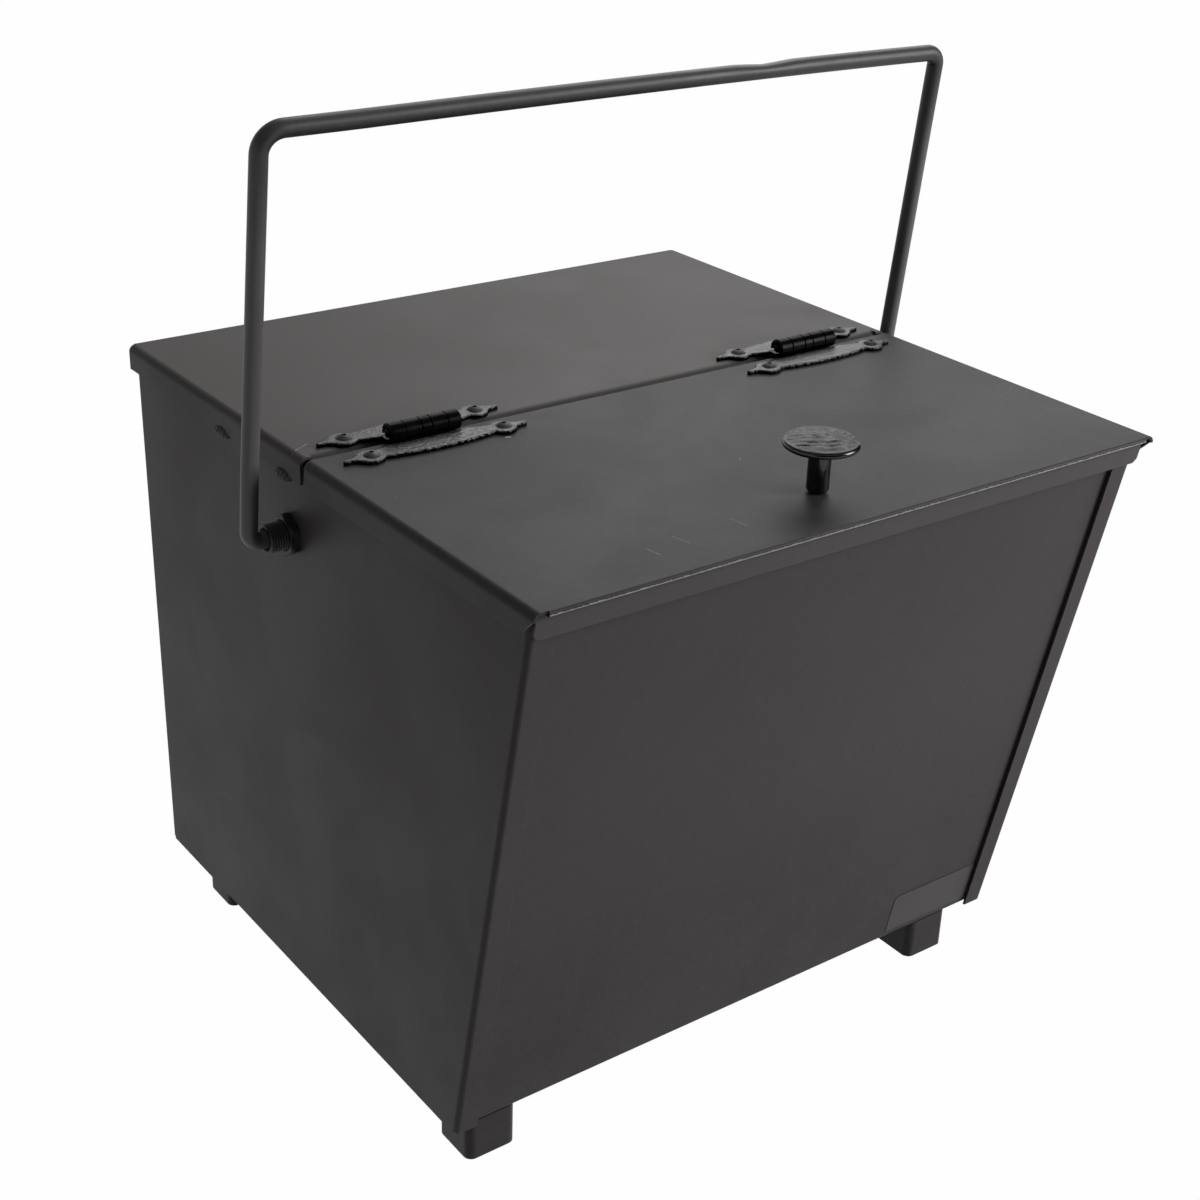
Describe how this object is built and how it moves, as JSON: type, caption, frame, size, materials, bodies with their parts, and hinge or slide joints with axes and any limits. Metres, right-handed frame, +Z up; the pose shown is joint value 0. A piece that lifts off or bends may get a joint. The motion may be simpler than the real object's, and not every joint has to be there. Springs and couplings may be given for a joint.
{
  "type": "ash bucket",
  "caption": "Square sheet-steel ash bucket on feet with a sloped front, a fixed rear cover, a hinged front lid with a knob and a swinging bail handle",
  "frame": {"origin": "on the ground, in the middle of the width and of the depth", "axes": "+Z up, +X to the right as seen from the front, the sloped front with the lid's nose faces -Y"},
  "size_m": [0.456, 0.4258, 0.5403],
  "materials": {
    "powder_coat": "matte dark grey powder coat",
    "hammered_iron": "hammered, semi-gloss black",
    "rivet_paint": "semi-gloss dark grey paint",
    "gloss_black": "gloss black paint",
    "black_hardware": "black painted steel"
  },
  "bodies": {
    "bucket": {"body_wrap": "powder_coat", "side_panel_left": "powder_coat", "side_panel_right": "powder_coat", "rear_strip_left": "powder_coat", "rear_strip_right": "powder_coat", "rear_cover": "powder_coat", "cover_tack_welds": "powder_coat", "hinge_cover_leaf_left": "hammered_iron", "hinge_cover_leaf_right": "hammered_iron", "hinge_pin_left": "gloss_black", "hinge_pin_right": "gloss_black", "cover_hinge_rivets": "rivet_paint", "bush_left": "black_hardware", "bush_right": "black_hardware", "bush_outer_nut_left": "black_hardware", "bush_outer_nut_right": "black_hardware", "bush_inner_nut_left": "black_hardware", "bush_inner_nut_right": "black_hardware", "foot_front_left": "powder_coat", "foot_front_right": "powder_coat", "foot_rear_left": "powder_coat", "foot_rear_right": "powder_coat"},
    "lid": {"lid": "powder_coat", "hinge_lid_leaf_left": "hammered_iron", "hinge_lid_leaf_right": "hammered_iron", "lid_hinge_rivets": "rivet_paint", "knob": "gloss_black", "knob_washer": "black_hardware", "knob_screw": "black_hardware"},
    "bail": {"bail": "powder_coat"}
  },
  "joints": [
    {"name": "lid_hinge", "type": "hinge", "parent": "bucket", "child": "lid", "pos_m": [0, -0.00644, 0.3718], "axis": [-1, 0, 0], "range_deg": [0, 79.5]},
    {"name": "bail_swing", "type": "hinge", "parent": "bucket", "child": "bail", "pos_m": [0, 0.02086, 0.3156], "axis": [-1, 0, 0], "range_deg": [-60, 126]}
  ]
}
